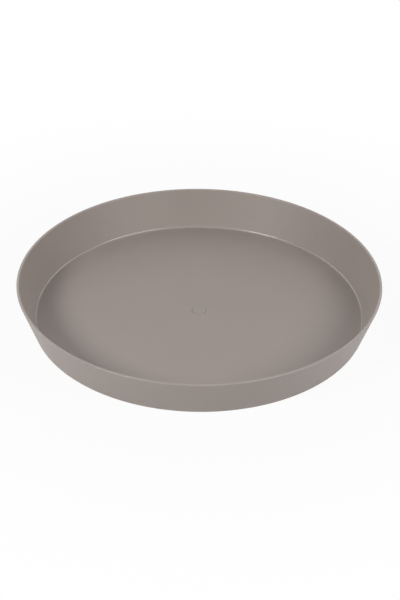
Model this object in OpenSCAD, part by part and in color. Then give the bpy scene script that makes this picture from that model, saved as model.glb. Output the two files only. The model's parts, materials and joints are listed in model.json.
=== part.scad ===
// Round plant saucer, moulded in one piece from polypropylene.
// The whole part is one section turned about the Z axis.
// Units are millimetres. Z is up, and the origin is on the table under the middle of the saucer.

/* [Overall] */

// Diameter across the rim
rim_d = 350; // [240:1:460]

// Height of the rim above the table
height = 40; // [25:1:70]

// Lean of the wall away from upright, in degrees
wall_lean = 19.7; // [8:0.1:30]

/* [Wall] */

// Thickness of the wall at the rim, square to its outside
wall_t = 2.5; // [1.8:0.1:3.2]

// Thickness of the wall at the floor, square to its outside
base_t = 3.6; // [1.8:0.1:4.5]

// Rounding on both edges of the rim
rim_round = 0.8; // [0.2:0.1:0.9]

// Rounding where the outside of the wall meets the table
foot_round = 1.5; // [0.4:0.1:2.5]

/* [Floor] */

// Thickness of the floor
floor_t = 2; // [1.6:0.1:3.2]

// Fillet between the floor and the inside of the wall
floor_fillet = 2; // [1:0.1:8]

/* [Standing ring] */

// Height of the ring that holds the floor off the table
ring_h = 0.5; // [0.4:0.1:3]

// Width of the ring where it stands on the table
ring_w = 4; // [2.5:0.1:10]

/* [Centre mark] */

// Diameter of the round mark that the mould leaves in the middle of the floor
mark_d = 14; // [10:0.5:30]

// Height of the mark above the floor
mark_rise = 0.3; // [0.1:0.05:0.6]

// Width of the groove round the mark, at the level of the floor
groove_w = 1; // [0.6:0.1:2]

// Width of the groove at its bottom
groove_bottom_w = 0.3; // [0.2:0.05:0.5]

// Depth of the groove
groove_depth = 0.25; // [0.1:0.05:0.6]

/* [Gate] */

// Diameter of the shallow well under the floor, where the plastic enters the mould
well_d = 11; // [8:0.5:26]

// Depth of the well
well_depth = 0.7; // [0.3:0.1:1]

// Diameter of the stub that is left in the well
stub_d = 3; // [1.5:0.1:5]

// Height of the stub
stub_h = 0.5; // [0.2:0.05:0.6]

/* [Hidden] */

// Slope on the low sides of the ring, the well and the stub, so that they leave the mould
draft = 20;

// Rounding on those low edges, and on the finer ones of the stub and the mark
low_round = 0.3;
fine_round = 0.15;

// Largest gap between a rounded edge and the short straight steps that draw it
arc_gap = 0.01;

// Largest share of an edge that the rounding at one of its ends may take
edge_share = 0.48;

// Levels above the table
floor_z = ring_h + floor_t;
mark_z = floor_z + mark_rise;
groove_z = floor_z - groove_depth;
well_z = ring_h + well_depth;
stub_z = well_z - stub_h;

// Radii of the wall's sharp corners, placed so that the rounded rim still measures rim_d
wall_w = wall_t / cos(wall_lean);
base_w = base_t / cos(wall_lean);
rim_r = rim_d / 2 + rim_round * (1 / tan((90 - wall_lean) / 2) - 1);
foot_r = rim_r - height * tan(wall_lean);
floor_r = rim_r - base_w - (height - floor_z) * tan(wall_lean);

// Radii of the standing ring's inner edge, the mark, the well and the stub
ring_r = foot_r - ring_w;
mark_r = mark_d / 2;
well_r = well_d / 2;
stub_r = stub_d / 2;

// The section's corners as radius, height and rounding, from the middle of the underside outwards,
// up the outside of the wall, over the rim and back in along the floor
corners = [
    [0, stub_z, 0],
    [stub_r, stub_z, fine_round],
    [stub_r + stub_h * tan(draft), well_z, fine_round],
    [well_r - well_depth * tan(draft), well_z, low_round],
    [well_r, ring_h, low_round],
    [ring_r - ring_h * tan(draft), ring_h, low_round],
    [ring_r, 0, low_round],
    [foot_r, 0, foot_round],
    [rim_r, height, rim_round],
    [rim_r - wall_w, height, rim_round],
    [floor_r, floor_z, floor_fillet],
    [mark_r + groove_w / 2, floor_z, fine_round],
    [mark_r + groove_bottom_w / 2, groove_z, fine_round],
    [mark_r - groove_bottom_w / 2, groove_z, fine_round],
    [mark_r - groove_w / 2, mark_z, fine_round],
    [0, mark_z, 0],
];

function unit(v) = v / norm(v);

function point(corner) = [corner[0], corner[1]];

// Points of the arc that rounds corner b between its neighbours a and c.
// The radius shrinks where an edge is too short for it.
function arc(a, b, c, radius) =
    let (
        to_a = unit(a - b),
        to_c = unit(c - b),
        half = acos(to_a * to_c) / 2,
        reach = min(radius / tan(half), norm(a - b) * edge_share, norm(c - b) * edge_share),
        r = reach * tan(half),
        centre = b + unit(to_a + to_c) * r / sin(half),
        from = b + to_a * reach - centre,
        start = atan2(from[1], from[0]),
        sweep = (180 - 2 * half) * sign(cross(to_c, to_a)),
        steps = max(1, ceil(abs(sweep) / (2 * acos(1 - arc_gap / r))))
    )
    [for (i = [0:steps]) centre + r * [cos(start + sweep * i / steps), sin(start + sweep * i / steps)]];

// The outline through a list of corners, each one rounded by its own radius
function rounded(list) =
    let (n = len(list))
    [
        for (i = [0:n - 1])
            each list[i][2] > 0
                ? arc(point(list[(i + n - 1) % n]), point(list[i]), point(list[(i + 1) % n]), list[i][2])
                : [point(list[i])]
    ];

module saucer() {
    color("#9c938e")
        rotate_extrude($fn = 180)
            polygon(rounded(corners));
}

saucer();
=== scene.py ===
"""Round plant saucer with a satin moulded finish, on a plain studio floor.

The whole saucer is one section, with each corner rounded, turned about the Z axis.
Lengths are in metres and angles in radians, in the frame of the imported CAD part.
"""

import json
import math

import bmesh
import bpy
from bpy.props import FloatProperty, FloatVectorProperty, IntProperty, PointerProperty
from mathutils import Matrix, Vector


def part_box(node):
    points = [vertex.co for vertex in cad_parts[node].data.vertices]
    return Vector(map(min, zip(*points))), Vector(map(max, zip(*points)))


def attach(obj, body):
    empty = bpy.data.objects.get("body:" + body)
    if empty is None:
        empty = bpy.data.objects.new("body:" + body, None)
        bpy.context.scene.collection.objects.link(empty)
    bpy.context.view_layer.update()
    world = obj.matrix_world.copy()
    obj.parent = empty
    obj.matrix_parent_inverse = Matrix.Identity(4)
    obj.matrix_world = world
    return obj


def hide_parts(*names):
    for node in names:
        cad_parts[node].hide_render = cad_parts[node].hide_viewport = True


bl_info = {
    "name": "Plant Saucer",
    "version": (1, 0, 0),
    "blender": (4, 5, 0),
    "location": "View3D > Sidebar > Saucer",
    "description": "Models a moulded plant saucer with its finish, and a plain studio for it",
    "category": "Add Mesh",
}

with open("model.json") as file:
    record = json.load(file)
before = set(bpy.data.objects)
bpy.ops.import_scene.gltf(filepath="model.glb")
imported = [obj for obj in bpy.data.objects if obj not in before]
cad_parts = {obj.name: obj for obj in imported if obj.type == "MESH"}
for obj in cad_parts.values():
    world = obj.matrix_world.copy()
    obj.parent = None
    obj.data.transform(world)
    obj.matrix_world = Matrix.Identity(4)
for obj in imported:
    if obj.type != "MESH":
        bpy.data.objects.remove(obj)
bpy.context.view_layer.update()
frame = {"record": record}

NODE = "saucer"
SLOT = "saucer_plastic"
LOW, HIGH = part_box(NODE)
MOUNT_PLACES = {mount["name"]: Vector(mount["pos_m"]) for mount in frame["record"]["mounts"]}
SLOT_COLOURS = {entry["slot"]: entry["base_color"] for entry in frame["record"]["materials"]}

# Slope on the low sides of the ring, the well and the stub, so that they leave the mould
DRAFT = math.radians(20)

# Rounding on those low edges, and on the finer ones of the stub and the mark
LOW_ROUND = 0.0003
FINE_ROUND = 0.00015

# Largest share of an edge that the rounding at one of its ends may take
EDGE_SHARE = 0.48

# Largest turn between two steps of a rounded edge
ARC_STEP = math.radians(9)

# Points of the mesh that are nearer than this are one point
MERGE_GAP = 1e-6

# Width of one flow line in radians, and the weights of flow lines and flecks beside the drifting colour
FLOW_WIDTH = 0.09
FLOW_WEIGHT = 0.1
FLECK_WEIGHT = 0.6

# How far the sum of those noises goes from its middle before the clouding is at its full strength
SHADE_REACH = 0.325

# Low and high end of the drifting noise over which the roughness drifts, and how far it drifts
DRIFT_LOW = 0.3
DRIFT_HIGH = 0.7
ROUGHNESS_DRIFT = 0.03

# Middle of the sheen on the fillet, out and up from the fillet's sharp corner,
# and how far from that middle it starts to fade and ends, all as shares of the fillet
SHEEN_OUT = 0.25
SHEEN_UP = 0.65
SHEEN_FADE = 0.4
SHEEN_END = 0.7

# How far from the middle of the groove its darkening, partly dust and partly painted shade, starts to fade
# and ends, as shares of the groove's width
DUST_AND_SHADE_FADE = 0.3
DUST_AND_SHADE_END = 0.6

# Index of refraction of polypropylene
PLASTIC_IOR = 1.49

# Distances from the saucer's axis between which the studio floor turns plain white
WHITE_START = 0.17
WHITE_END = 0.5

# Corners of the round studio floor
FLOOR_CORNERS = 96

# Name, place, width, depth and watts of each softbox; all of them face the saucer
SOFTBOXES = (
    ("left_softbox", (-1.04, -0.95, 0.95), 0.6, 0.4, 15.2),
    ("right_softbox", (1.12, -0.85, 0.95), 1.2, 0.6, 13.0),
    ("back_left_softbox", (-1.1, 1.0, 1.0), 1.8, 1.1, 6.8),
    ("back_right_softbox", (1.1, 1.0, 1.0), 1.8, 1.1, 6.8),
    ("back_softbox", (0.0, 1.7, 0.35), 2.0, 0.5, 1.5),
)


def length(name, description, default):
    """Returns a length that a user can change."""
    return FloatProperty(
        name=name,
        description=description,
        default=default,
        min=0,
        precision=5,
        unit="LENGTH",
        subtype="DISTANCE",
    )


def angle(name, description, default):
    """Returns an angle that a user can change."""
    return FloatProperty(
        name=name, description=description, default=default, unit="ROTATION", subtype="ANGLE"
    )


def share(name, description, default):
    """Returns a value from 0 to 1 that a user can change."""
    return FloatProperty(
        name=name, description=description, default=default, min=0, max=1, subtype="FACTOR"
    )


def colour(name, description, default):
    """Returns a colour that a user can change."""
    return FloatVectorProperty(
        name=name, description=description, default=default, size=3, min=0, max=1, subtype="COLOR"
    )


class SaucerSize(bpy.types.PropertyGroup):
    """Sizes of the saucer's section and the fineness of its mesh"""

    rim_diameter: length("Rim diameter", "Diameter across the rim", HIGH.x - LOW.x)
    height: length("Height", "Height of the rim above the table", HIGH.z - LOW.z)
    wall_lean: angle("Wall lean", "Lean of the wall away from upright", math.radians(19.7))
    wall_thickness: length(
        "Wall thickness", "Thickness of the wall at the rim, square to its outside", 0.0025
    )
    base_thickness: length(
        "Base thickness", "Thickness of the wall at the floor, square to its outside", 0.0036
    )
    rim_round: length("Rim rounding", "Rounding on both edges of the rim", 0.0008)
    foot_round: length("Foot rounding", "Rounding where the outside of the wall meets the table", 0.0015)
    floor_level: length("Floor level", "Height of the floor above the table", MOUNT_PLACES["floor"].z)
    floor_fillet: length("Floor fillet", "Fillet between the floor and the inside of the wall", 0.002)
    ring_height: length("Ring height", "Height of the ring that holds the floor off the table", 0.0005)
    ring_width: length("Ring width", "Width of the ring where it stands on the table", 0.004)
    mark_diameter: length("Mark diameter", "Diameter of the round mark in the middle of the floor", 0.014)
    mark_rise: length("Mark rise", "Height of the mark above the floor", 0.0003)
    groove_width: length("Groove width", "Width of the groove round the mark, at the floor", 0.001)
    groove_bottom: length("Groove bottom", "Width of the groove at its bottom", 0.0003)
    groove_depth: length("Groove depth", "Depth of the groove", 0.00025)
    well_diameter: length("Well diameter", "Diameter of the shallow well under the floor", 0.011)
    well_depth: length("Well depth", "Depth of the well", 0.0007)
    stub_diameter: length("Stub diameter", "Diameter of the stub that is left in the well", 0.003)
    stub_height: length("Stub height", "Height of the stub", 0.0005)
    turn_steps: IntProperty(
        name="Turn steps", description="Steps of the mesh in one turn about the axis", default=288, min=24
    )
    row_gap: length("Row gap", "Distance between two rows of the mesh on the floor and the wall", 0.006)


class SaucerFinish(bpy.types.PropertyGroup):
    """Colour and surface of the moulded plastic"""

    base: colour("Base colour", "Colour of the plastic", SLOT_COLOURS[SLOT])
    cloud: share("Clouding", "How far the colour drifts over the surface", 0.025)
    drift_size: length("Drift size", "Width of one patch of the drifting colour", 0.055)
    fleck_size: length("Fleck size", "Width of one fleck in the colour", 0.0016)
    # The rim is painted lighter: partly edge wear, partly a painted highlight of its bright line
    rim_wear_and_painted_highlight: share("Rim lightening", "How much lighter the rubbed rim is", 0.16)
    rubbed_depth: length("Rubbed depth", "How far down from the top the rim is rubbed", 0.0012)
    # The groove is painted darker: partly dust, partly painted shade in the recess
    groove_dust_and_painted_shade: share("Groove darkening", "How much darker dust makes the mark's groove", 0.13)
    roughness: share("Roughness", "Roughness of the satin surface", 0.48)
    smooth_roughness: share(
        "Smooth roughness", "Roughness of the rubbed rim and of the fillet's upper part", 0.22
    )
    fillet_sheen: share("Fillet sheen", "Strength of the sheen on the fillet's upper part", 0.8)
    grain_size: length("Grain size", "Width of one bump of the fine grain", 0.0009)
    grain_depth: length("Grain depth", "Height of the fine grain", 0.000012)
    swell_size: length("Swell size", "Width of one swell of the surface", 0.018)
    swell_depth: length("Swell depth", "Height of the swells", 0.00003)


class SaucerStudio(bpy.types.PropertyGroup):
    """Camera, floor and light of the studio"""

    camera_distance: length("Camera distance", "Distance from the camera to the point it looks at", 1.6)
    camera_height: angle("Camera height", "Angle of the camera above the table", math.radians(33.12))
    camera_roll: angle("Camera roll", "Turn of the camera about its own axis", math.radians(0.626))
    camera_aim: FloatVectorProperty(
        name="Camera aim",
        description="Point that the camera looks at",
        default=(0.00077, 0.0, 0.01458),
        size=3,
        unit="LENGTH",
        subtype="TRANSLATION",
    )
    lens: FloatProperty(
        name="Lens", description="Focal length of the camera in millimetres", default=99.09, min=1
    )
    floor_radius: length("Floor radius", "Radius of the studio floor", 8.0)
    floor_colour: colour("Floor colour", "Colour of the studio floor", (0.9, 0.9, 0.9))
    floor_glow: share("Floor glow", "Share of plain white in the floor near the saucer", 0.92)
    sky_level: FloatProperty(
        name="Sky level", description="Light that comes from all round", default=0.02, min=0
    )


def wall_radii(size):
    """Returns the radii of the wall's sharp corners: outside at the rim and at the table, then inside at the
    rim and at the floor. They are placed so that the rounded rim still measures the rim's diameter."""
    slope = math.tan(size.wall_lean)
    rim = size.rim_diameter / 2 + size.rim_round * (1 / math.tan((math.pi / 2 - size.wall_lean) / 2) - 1)
    foot = rim - size.height * slope
    rim_inside = rim - size.wall_thickness / math.cos(size.wall_lean)
    base_width = size.base_thickness / math.cos(size.wall_lean)
    floor_edge = rim - base_width - (size.height - size.floor_level) * slope
    return rim, foot, rim_inside, floor_edge


def section_corners(size):
    """Returns the section's corners as radius, height and rounding: from the middle of the underside
    outwards, up the outside of the wall, over the rim and back in along the floor."""
    draft = math.tan(DRAFT)
    rim, foot, rim_inside, floor_edge = wall_radii(size)
    ring = foot - size.ring_width

    mark = size.mark_diameter / 2
    mark_level = size.floor_level + size.mark_rise
    groove_level = size.floor_level - size.groove_depth
    groove_half = size.groove_width / 2
    groove_bottom_half = size.groove_bottom / 2

    well = size.well_diameter / 2
    well_level = size.ring_height + size.well_depth
    stub = size.stub_diameter / 2
    stub_level = well_level - size.stub_height

    return [
        (0, stub_level, 0),
        (stub, stub_level, FINE_ROUND),
        (stub + size.stub_height * draft, well_level, FINE_ROUND),
        (well - size.well_depth * draft, well_level, LOW_ROUND),
        (well, size.ring_height, LOW_ROUND),
        (ring - size.ring_height * draft, size.ring_height, LOW_ROUND),
        (ring, 0, LOW_ROUND),
        (foot, 0, size.foot_round),
        (rim, size.height, size.rim_round),
        (rim_inside, size.height, size.rim_round),
        (floor_edge, size.floor_level, size.floor_fillet),
        (mark + groove_half, size.floor_level, FINE_ROUND),
        (mark + groove_bottom_half, groove_level, FINE_ROUND),
        (mark - groove_bottom_half, groove_level, FINE_ROUND),
        (mark - groove_half, mark_level, FINE_ROUND),
        (0, mark_level, 0),
    ]


def round_corner(bm, corner, radius):
    """Rounds one corner of a section that is still a chain of edges."""
    arms = [edge.other_vert(corner).co - corner.co for edge in corner.link_edges]
    opening = arms[0].angle(arms[1])
    reach = min(radius / math.tan(opening / 2), EDGE_SHARE * min(arm.length for arm in arms))
    bmesh.ops.bevel(
        bm,
        geom=[corner],
        offset=reach,
        offset_type="OFFSET",
        segments=max(2, math.ceil((math.pi - opening) / ARC_STEP)),
        profile=0.5,
        affect="VERTICES",
        material=-1,
    )


def draw_section(bm, size):
    """Draws the section in the XZ plane as a chain of edges, with rounded corners and divided long edges."""
    corners = section_corners(size)
    chain = [bm.verts.new((radius, 0, height)) for radius, height, _ in corners]
    for start, end in zip(chain, chain[1:]):
        bm.edges.new((start, end))
    for vert, (_, _, rounding) in zip(chain, corners):
        if rounding:
            round_corner(bm, vert, rounding)
    for edge in list(bm.edges):
        cuts = int(edge.calc_length() / size.row_gap)
        if cuts:
            bmesh.ops.subdivide_edges(bm, edges=[edge], cuts=cuts)


def turn_section(bm, size):
    """Turns the section about the Z axis into a closed shell."""
    bmesh.ops.spin(
        bm,
        geom=bm.verts[:] + bm.edges[:],
        cent=(0, 0, 0),
        axis=(0, 0, 1),
        angle=math.tau,
        steps=size.turn_steps,
        use_merge=True,
    )
    bmesh.ops.remove_doubles(bm, verts=bm.verts[:], dist=MERGE_GAP)
    bmesh.ops.recalc_face_normals(bm, faces=bm.faces[:])
    if not all(edge.is_manifold for edge in bm.edges):
        raise RuntimeError("the turned shell isn't closed")


def make_object(name, bm):
    """Returns a smooth object at the origin with the mesh of bm, which is freed."""
    for face in bm.faces:
        face.smooth = True
    mesh = bpy.data.meshes.new(name)
    bm.to_mesh(mesh)
    bm.free()
    made = bpy.data.objects.new(name, mesh)
    bpy.context.scene.collection.objects.link(made)
    return made


def add_node(tree, kind, inputs=None, **settings):
    """Adds a node, gives it its settings, and sets or links each input named in inputs."""
    node = tree.nodes.new(kind)
    for name, value in settings.items():
        setattr(node, name, value)
    for key, value in (inputs or {}).items():
        if isinstance(value, bpy.types.NodeSocket):
            tree.links.new(value, node.inputs[key])
        else:
            node.inputs[key].default_value = value
    return node


def calculate(tree, operation, *values):
    """Returns the result of a Math node on numbers or sockets."""
    return add_node(tree, "ShaderNodeMath", dict(enumerate(values)), operation=operation).outputs[0]


def remap(tree, value, from_low, from_high, to_low=0.0, to_high=1.0):
    """Returns value taken smoothly from one range to another."""
    inputs = {
        "Value": value,
        "From Min": from_low,
        "From Max": from_high,
        "To Min": to_low,
        "To Max": to_high,
    }
    return add_node(tree, "ShaderNodeMapRange", inputs, interpolation_type="SMOOTHSTEP").outputs["Result"]


def vector_math(tree, operation, *values):
    """Returns the result of a Vector Math node: a number for a length or a distance, or else a vector."""
    outputs = add_node(tree, "ShaderNodeVectorMath", dict(enumerate(values)), operation=operation).outputs
    return outputs["Value"] if operation in {"LENGTH", "DISTANCE"} else outputs["Vector"]


def combine(tree, **axes):
    """Returns the vector of the X, Y and Z that are named, with 0 for the others."""
    return add_node(tree, "ShaderNodeCombineXYZ", axes).outputs[0]


def noise(tree, vector, width, detail=2.0):
    """Returns a noise whose spots are about width wide."""
    inputs = {"Vector": vector, "Scale": 1 / width, "Detail": detail}
    return add_node(tree, "ShaderNodeTexNoise", inputs).outputs["Fac"]


def new_material(name):
    """Returns a material with empty nodes, its tree and its output."""
    material = bpy.data.materials.new(name)
    material.use_nodes = True
    tree = material.node_tree
    tree.nodes.clear()
    return material, tree, add_node(tree, "ShaderNodeOutputMaterial")


def near_circle(tree, section_place, circle, fade, end):
    """Returns 1 within fade of a circle about the Z axis, given as radius and height, and 0 beyond end."""
    radius, height = circle
    distance = vector_math(tree, "DISTANCE", section_place, (radius, 0, height))
    return remap(tree, distance, fade, end, 1.0, 0.0)


def plastic_tone(tree, finish, place, flat, radius, drift):
    """Returns a factor for the colour: its drift, with faint flow lines from the gate and fine flecks."""
    flow_place = vector_math(tree, "ADD", vector_math(tree, "NORMALIZE", flat), combine(tree, Z=radius))
    flow = noise(tree, flow_place, FLOW_WIDTH)
    fleck = noise(tree, place, finish.fleck_size)
    shade = calculate(tree, "MULTIPLY_ADD", flow, FLOW_WEIGHT, drift)
    shade = calculate(tree, "MULTIPLY_ADD", fleck, FLECK_WEIGHT, shade)
    middle = (1 + FLOW_WEIGHT + FLECK_WEIGHT) / 2
    low, high = middle - SHADE_REACH, middle + SHADE_REACH
    return remap(tree, shade, low, high, 1 - finish.cloud, 1 + finish.cloud)


def plastic_normal(tree, finish, place):
    """Returns the surface's normal, bent by slight swells and a fine grain."""
    swell = noise(tree, place, finish.swell_size, detail=1.0)
    grain = noise(tree, place, finish.grain_size, detail=1.0)
    swollen = add_node(tree, "ShaderNodeBump", {"Distance": finish.swell_depth, "Height": swell}).outputs[0]
    grained = {"Distance": finish.grain_depth, "Height": grain, "Normal": swollen}
    return add_node(tree, "ShaderNodeBump", grained).outputs[0]


def moulded_plastic(finish, size):
    """Returns the saucer's satin plastic: smoother on the rubbed rim and lighter there, partly as wear and
    partly as a painted highlight, with a sheen where the fillet meets the wall, and darker in the mark's
    groove, partly from dust and partly as painted shade."""
    material, tree, output = new_material("moulded_plastic")
    place = add_node(tree, "ShaderNodeTexCoord").outputs["Object"]
    split = add_node(tree, "ShaderNodeSeparateXYZ", {0: place})
    height = split.outputs["Z"]
    flat = combine(tree, X=split.outputs["X"], Y=split.outputs["Y"])
    radius = vector_math(tree, "LENGTH", flat)
    section_place = combine(tree, X=radius, Z=height)

    rubbed = remap(tree, height, size.height - finish.rubbed_depth, size.height)
    *_, floor_edge = wall_radii(size)
    fillet = size.floor_fillet
    sheen_circle = (floor_edge + SHEEN_OUT * fillet, size.floor_level + SHEEN_UP * fillet)
    in_fillet = near_circle(tree, section_place, sheen_circle, SHEEN_FADE * fillet, SHEEN_END * fillet)
    groove = size.groove_width
    groove_circle = (size.mark_diameter / 2, size.floor_level)
    in_groove = near_circle(tree, section_place, groove_circle, DUST_AND_SHADE_FADE * groove, DUST_AND_SHADE_END * groove)

    drift = noise(tree, place, finish.drift_size, detail=3.0)
    tone = plastic_tone(tree, finish, place, flat, radius, drift)
    # Lighter rim: partly wear, partly a painted highlight
    tone = calculate(tree, "MULTIPLY_ADD", rubbed, finish.rim_wear_and_painted_highlight, tone)
    # Darker groove: partly dust, partly painted shade
    tone = calculate(tree, "MULTIPLY_ADD", in_groove, -finish.groove_dust_and_painted_shade, tone)
    scaled = {0: tuple(finish.base), "Scale": tone}
    base = add_node(tree, "ShaderNodeVectorMath", scaled, operation="SCALE").outputs["Vector"]

    smoothest = finish.roughness - ROUGHNESS_DRIFT
    roughest = finish.roughness + ROUGHNESS_DRIFT
    roughness = remap(tree, drift, DRIFT_LOW, DRIFT_HIGH, smoothest, roughest)
    smooth = calculate(tree, "MAXIMUM", rubbed, in_fillet)
    change = finish.smooth_roughness - finish.roughness
    roughness = calculate(tree, "MULTIPLY_ADD", smooth, change, roughness)

    plastic = add_node(
        tree,
        "ShaderNodeBsdfPrincipled",
        {
            "Base Color": base,
            "Roughness": roughness,
            "IOR": PLASTIC_IOR,
            "Coat Weight": calculate(tree, "MULTIPLY", in_fillet, finish.fillet_sheen),
            "Coat Roughness": finish.smooth_roughness,
            "Normal": plastic_normal(tree, finish, place),
        },
    )
    tree.links.new(plastic.outputs[0], output.inputs["Surface"])
    return material


def seen_directly(tree):
    """Returns 1 for the rays that show the studio: from the camera, or by a glossy or a clear surface."""
    path = add_node(tree, "ShaderNodeLightPath")
    seen = calculate(tree, "MAXIMUM", path.outputs["Is Camera Ray"], path.outputs["Is Glossy Ray"])
    return calculate(tree, "MAXIMUM", seen, path.outputs["Is Transmission Ray"])


def studio_floor(studio):
    """Returns the floor's material: pale, with a share of plain white that grows away from the saucer."""
    material, tree, output = new_material("studio_floor")
    place = add_node(tree, "ShaderNodeTexCoord").outputs["Object"]
    away = vector_math(tree, "LENGTH", place)
    glow = remap(tree, away, WHITE_START, WHITE_END, studio.floor_glow, 1.0)
    glow = calculate(tree, "MULTIPLY", glow, seen_directly(tree))
    paper = add_node(tree, "ShaderNodeBsdfDiffuse", {"Color": (*studio.floor_colour, 1)})
    white = add_node(tree, "ShaderNodeEmission", {"Color": (1, 1, 1, 1), "Strength": 1.0})
    mixed = add_node(tree, "ShaderNodeMixShader", {0: glow, 1: paper.outputs[0], 2: white.outputs[0]})
    tree.links.new(mixed.outputs[0], output.inputs["Surface"])
    return material


def light_world(studio):
    """Gives the scene a white backdrop and a soft light from all round."""
    world = bpy.data.worlds.new("studio_world")
    world.use_nodes = True
    bpy.context.scene.world = world
    tree = world.node_tree
    tree.nodes.clear()
    soft = add_node(tree, "ShaderNodeBackground", {"Color": (1, 1, 1, 1), "Strength": studio.sky_level})
    white = add_node(tree, "ShaderNodeBackground", {"Color": (1, 1, 1, 1), "Strength": 1.0})
    seen = seen_directly(tree)
    mixed = add_node(tree, "ShaderNodeMixShader", {0: seen, 1: soft.outputs[0], 2: white.outputs[0]})
    add_node(tree, "ShaderNodeOutputWorld", {"Surface": mixed.outputs[0]})


def add_softbox(name, place, width, depth, watts):
    """Adds a soft rectangular lamp that faces the saucer and that the camera doesn't see."""
    lamp = bpy.data.lights.new(name, "AREA")
    lamp.shape = "RECTANGLE"
    lamp.size = width
    lamp.size_y = depth
    lamp.energy = watts
    holder = bpy.data.objects.new(name, lamp)
    holder.location = place
    holder.rotation_euler = Vector(place).to_track_quat("Z", "Y").to_euler()
    holder.visible_camera = False
    bpy.context.scene.collection.objects.link(holder)


def add_camera(studio):
    """Adds the camera, which looks along +Y and down at the saucer."""
    lens = bpy.data.cameras.new("camera")
    lens.lens = studio.lens
    tilt = Matrix.Rotation(math.pi / 2 - studio.camera_height, 4, "X")
    roll = Matrix.Rotation(studio.camera_roll, 4, "Z")
    back = tilt @ Vector((0, 0, studio.camera_distance))
    camera = bpy.data.objects.new("camera", lens)
    camera.matrix_world = Matrix.Translation(Vector(studio.camera_aim) + back) @ tilt @ roll
    bpy.context.scene.collection.objects.link(camera)
    bpy.context.scene.camera = camera


class SAUCER_OT_shell(bpy.types.Operator):
    """Model the saucer as one turned shell with its moulded finish"""

    bl_idname = "saucer.shell"
    bl_label = "Model Saucer"

    def execute(self, context):
        size = context.scene.saucer_size
        bm = bmesh.new()
        draw_section(bm, size)
        turn_section(bm, size)
        shell = make_object("saucer_shell", bm)
        shell.modifiers.new("even_shading", "WEIGHTED_NORMAL").keep_sharp = True
        shell.data.materials.append(moulded_plastic(context.scene.saucer_finish, size))
        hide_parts(NODE)
        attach(shell, "root")
        return {"FINISHED"}


class SAUCER_OT_studio(bpy.types.Operator):
    """Set up the floor, the light and the camera"""

    bl_idname = "saucer.studio"
    bl_label = "Set Up Studio"

    def execute(self, context):
        studio = context.scene.saucer_studio
        context.scene.view_settings.view_transform = "Standard"
        bm = bmesh.new()
        bmesh.ops.create_circle(bm, cap_ends=True, segments=FLOOR_CORNERS, radius=studio.floor_radius)
        floor = make_object("studio_floor", bm)
        floor.data.materials.append(studio_floor(studio))
        light_world(studio)
        for softbox in SOFTBOXES:
            add_softbox(*softbox)
        add_camera(studio)
        return {"FINISHED"}


class SAUCER_PT_sidebar(bpy.types.Panel):
    """Sizes, finish and studio of the saucer"""

    bl_idname = "SAUCER_PT_sidebar"
    bl_label = "Plant Saucer"
    bl_space_type = "VIEW_3D"
    bl_region_type = "UI"
    bl_category = "Saucer"

    def draw(self, context):
        scene = context.scene
        for group, operators in (
            (scene.saucer_size, ()),
            (scene.saucer_finish, (SAUCER_OT_shell,)),
            (scene.saucer_studio, (SAUCER_OT_studio,)),
        ):
            box = self.layout.box()
            for name in group.__annotations__:
                box.prop(group, name)
            for operator in operators:
                box.operator(operator.bl_idname)


CLASSES = (SaucerSize, SaucerFinish, SaucerStudio, SAUCER_OT_shell, SAUCER_OT_studio, SAUCER_PT_sidebar)


def register():
    """Registers the classes and gives each scene the saucer's settings."""
    for cls in CLASSES:
        bpy.utils.register_class(cls)
    bpy.types.Scene.saucer_size = PointerProperty(type=SaucerSize)
    bpy.types.Scene.saucer_finish = PointerProperty(type=SaucerFinish)
    bpy.types.Scene.saucer_studio = PointerProperty(type=SaucerStudio)


def unregister():
    """Removes the settings and the classes."""
    del bpy.types.Scene.saucer_studio
    del bpy.types.Scene.saucer_finish
    del bpy.types.Scene.saucer_size
    for cls in reversed(CLASSES):
        bpy.utils.unregister_class(cls)


def main():
    """Makes the saucer and its studio."""
    register()
    bpy.ops.saucer.shell()
    bpy.ops.saucer.studio()


if __name__ == "__main__":
    main()
